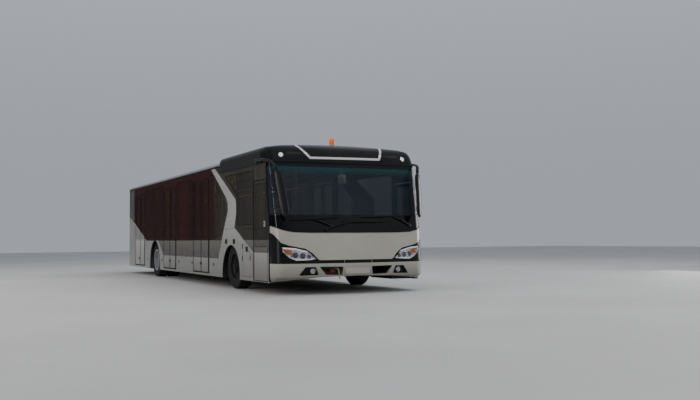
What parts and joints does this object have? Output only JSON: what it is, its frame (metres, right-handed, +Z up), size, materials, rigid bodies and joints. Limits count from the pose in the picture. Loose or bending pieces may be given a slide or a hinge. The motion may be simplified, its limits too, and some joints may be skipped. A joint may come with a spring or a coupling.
{
  "type": "airport passenger bus",
  "caption": "Low-floor airport passenger bus with a raised cab roof, double doors on both sides, steered front wheels and twin rear tyres.",
  "frame": {"origin": "on the ground below the middle of the bus's box", "axes": "+X towards the bus's left side, -Y towards the front, +Z up"},
  "size_m": [3.3586, 13.8, 3.09],
  "materials": {
    "dark_film": "gloss dark film over the upper side",
    "silver_paint": "silver-white paint",
    "side_glass": "dark tinted glass",
    "roof_paint": "light grey paint",
    "cab_roof_paint": "dark grey paint",
    "black_gloss": "black gloss",
    "windscreen_glass": "blue-grey laminated glass",
    "mask_paint": "cream-white paint",
    "lamp_glass": "clear lamp lens",
    "amber_lens": "amber lens",
    "red_lens": "red lens",
    "matt_black": "matt black",
    "red_enamel": "dull red enamel",
    "floor_cover": "grey speckled floor cover",
    "chassis_black": "black chassis paint",
    "cast_engine": "grey cast iron",
    "rim_steel": "silver painted steel",
    "tyre": "black rubber",
    "seat_fabric": "dark blue fabric",
    "rail_paint": "yellow powder coat",
    "door_dark": "dark glazed door leaf"
  },
  "bodies": {
    "body": {"side_wall_right": "dark_film", "side_wall_left": "dark_film", "side_panels_right": "silver_paint", "side_panels_left": "silver_paint", "side_windows_right": "side_glass", "side_windows_left": "side_glass", "roof": "roof_paint", "cab_roof": "cab_roof_paint", "visor": "black_gloss", "windscreen": "windscreen_glass", "front_mask": "mask_paint", "front_cheeks": "black_gloss", "front_bumper": "mask_paint", "headlamps": "lamp_glass", "fog_lamps": "lamp_glass", "marker_lamps": "lamp_glass", "beacon": "amber_lens", "mirrors": "black_gloss", "wipers": "matt_black", "tow_eyes": "red_enamel", "rear_wall": "silver_paint", "rear_window": "side_glass", "rear_bumper": "silver_paint", "tail_lamps": "red_lens", "floor": "floor_cover", "chassis_frame": "chassis_black", "front_axle": "chassis_black", "rear_axle": "chassis_black", "engine_block": "cast_engine", "cab_platform": "floor_cover", "dashboard": "matt_black", "driver_seat": "seat_fabric", "passenger_seats": "seat_fabric", "handrails": "rail_paint"},
    "knuckle_right": {"knuckle_right": "chassis_black"},
    "front_wheel_right": {"front_rim_right": "rim_steel", "front_tyre_right": "tyre"},
    "rear_wheel_right": {"rear_rims_right": "rim_steel", "rear_tyres_right": "tyre"},
    "cab_door_right": {"cab_door_right": "door_dark"},
    "knuckle_left": {"knuckle_left": "chassis_black"},
    "front_wheel_left": {"front_rim_left": "rim_steel", "front_tyre_left": "tyre"},
    "rear_wheel_left": {"rear_rims_left": "rim_steel", "rear_tyres_left": "tyre"},
    "cab_door_left": {"cab_door_left": "door_dark"},
    "leaf_right_front_a": {"leaf_right_front_a": "door_dark"},
    "leaf_right_front_b": {"leaf_right_front_b": "door_dark"},
    "leaf_right_middle_a": {"leaf_right_middle_a": "door_dark"},
    "leaf_right_middle_b": {"leaf_right_middle_b": "door_dark"},
    "leaf_right_rear_a": {"leaf_right_rear_a": "door_dark"},
    "leaf_right_rear_b": {"leaf_right_rear_b": "door_dark"},
    "leaf_left_front_a": {"leaf_left_front_a": "door_dark"},
    "leaf_left_front_b": {"leaf_left_front_b": "door_dark"},
    "leaf_left_middle_a": {"leaf_left_middle_a": "door_dark"},
    "leaf_left_middle_b": {"leaf_left_middle_b": "door_dark"},
    "leaf_left_rear_a": {"leaf_left_rear_a": "door_dark"},
    "leaf_left_rear_b": {"leaf_left_rear_b": "door_dark"},
    "rear_lid": {"rear_lid": "silver_paint"}
  },
  "joints": [
    {"name": "steer_right", "type": "hinge", "parent": "body", "child": "knuckle_right", "pos_m": [-1.15, -4.05, 0.48], "axis": [0, 0, 1], "range_deg": [-40, 40]},
    {"name": "roll_front_right", "type": "hinge", "parent": "knuckle_right", "child": "front_wheel_right", "pos_m": [-1.3825, -4.05, 0.48], "axis": [1, 0, 0], "continuous": true},
    {"name": "roll_rear_right", "type": "hinge", "parent": "body", "child": "rear_wheel_right", "pos_m": [-1.25, 3.05, 0.48], "axis": [1, 0, 0], "continuous": true},
    {"name": "open_cab_door_right", "type": "hinge", "parent": "body", "child": "cab_door_right", "pos_m": [-1.589, -5.523, 1.2], "axis": [0, 0, -1], "range_deg": [0, 80]},
    {"name": "steer_left", "type": "hinge", "parent": "body", "child": "knuckle_left", "pos_m": [1.15, -4.05, 0.48], "axis": [0, 0, 1], "range_deg": [-40, 40]},
    {"name": "roll_front_left", "type": "hinge", "parent": "knuckle_left", "child": "front_wheel_left", "pos_m": [1.3825, -4.05, 0.48], "axis": [1, 0, 0], "continuous": true},
    {"name": "roll_rear_left", "type": "hinge", "parent": "body", "child": "rear_wheel_left", "pos_m": [1.25, 3.05, 0.48], "axis": [1, 0, 0], "continuous": true},
    {"name": "open_cab_door_left", "type": "hinge", "parent": "body", "child": "cab_door_left", "pos_m": [1.589, -5.523, 1.2], "axis": [0, 0, 1], "range_deg": [0, 80]},
    {"name": "open_right_front_a", "type": "hinge", "parent": "body", "child": "leaf_right_front_a", "pos_m": [-1.55, -2.405, 1.36], "axis": [0, 0, -1], "range_deg": [0, 90]},
    {"name": "open_right_front_b", "type": "hinge", "parent": "body", "child": "leaf_right_front_b", "pos_m": [-1.55, -1.095, 1.36], "axis": [0, 0, 1], "range_deg": [0, 90]},
    {"name": "open_right_middle_a", "type": "hinge", "parent": "body", "child": "leaf_right_middle_a", "pos_m": [-1.55, 0.63, 1.36], "axis": [0, 0, -1], "range_deg": [0, 90]},
    {"name": "open_right_middle_b", "type": "hinge", "parent": "body", "child": "leaf_right_middle_b", "pos_m": [-1.55, 1.94, 1.36], "axis": [0, 0, 1], "range_deg": [0, 90]},
    {"name": "open_right_rear_a", "type": "hinge", "parent": "body", "child": "leaf_right_rear_a", "pos_m": [-1.55, 4.405, 1.36], "axis": [0, 0, -1], "range_deg": [0, 90]},
    {"name": "open_right_rear_b", "type": "hinge", "parent": "body", "child": "leaf_right_rear_b", "pos_m": [-1.55, 5.715, 1.36], "axis": [0, 0, 1], "range_deg": [0, 90]},
    {"name": "open_left_front_a", "type": "hinge", "parent": "body", "child": "leaf_left_front_a", "pos_m": [1.55, -2.405, 1.36], "axis": [0, 0, 1], "range_deg": [0, 90]},
    {"name": "open_left_front_b", "type": "hinge", "parent": "body", "child": "leaf_left_front_b", "pos_m": [1.55, -1.095, 1.36], "axis": [0, 0, -1], "range_deg": [0, 90]},
    {"name": "open_left_middle_a", "type": "hinge", "parent": "body", "child": "leaf_left_middle_a", "pos_m": [1.55, 0.63, 1.36], "axis": [0, 0, 1], "range_deg": [0, 90]},
    {"name": "open_left_middle_b", "type": "hinge", "parent": "body", "child": "leaf_left_middle_b", "pos_m": [1.55, 1.94, 1.36], "axis": [0, 0, -1], "range_deg": [0, 90]},
    {"name": "open_left_rear_a", "type": "hinge", "parent": "body", "child": "leaf_left_rear_a", "pos_m": [1.55, 4.405, 1.36], "axis": [0, 0, 1], "range_deg": [0, 90]},
    {"name": "open_left_rear_b", "type": "hinge", "parent": "body", "child": "leaf_left_rear_b", "pos_m": [1.55, 5.715, 1.36], "axis": [0, 0, -1], "range_deg": [0, 90]},
    {"name": "open_rear_lid", "type": "hinge", "parent": "body", "child": "rear_lid", "pos_m": [0, 6.892, 1.17], "axis": [1, 0, 0], "range_deg": [0, 75]}
  ],
  "couplings": [
    {"joint": "open_right_front_b", "follows": "open_right_front_a", "ratio": 1},
    {"joint": "open_right_middle_b", "follows": "open_right_middle_a", "ratio": 1},
    {"joint": "open_right_rear_b", "follows": "open_right_rear_a", "ratio": 1},
    {"joint": "open_left_front_b", "follows": "open_left_front_a", "ratio": 1},
    {"joint": "open_left_middle_b", "follows": "open_left_middle_a", "ratio": 1},
    {"joint": "open_left_rear_b", "follows": "open_left_rear_a", "ratio": 1},
    {"joint": "steer_right", "follows": "steer_left", "ratio": 1}
  ]
}
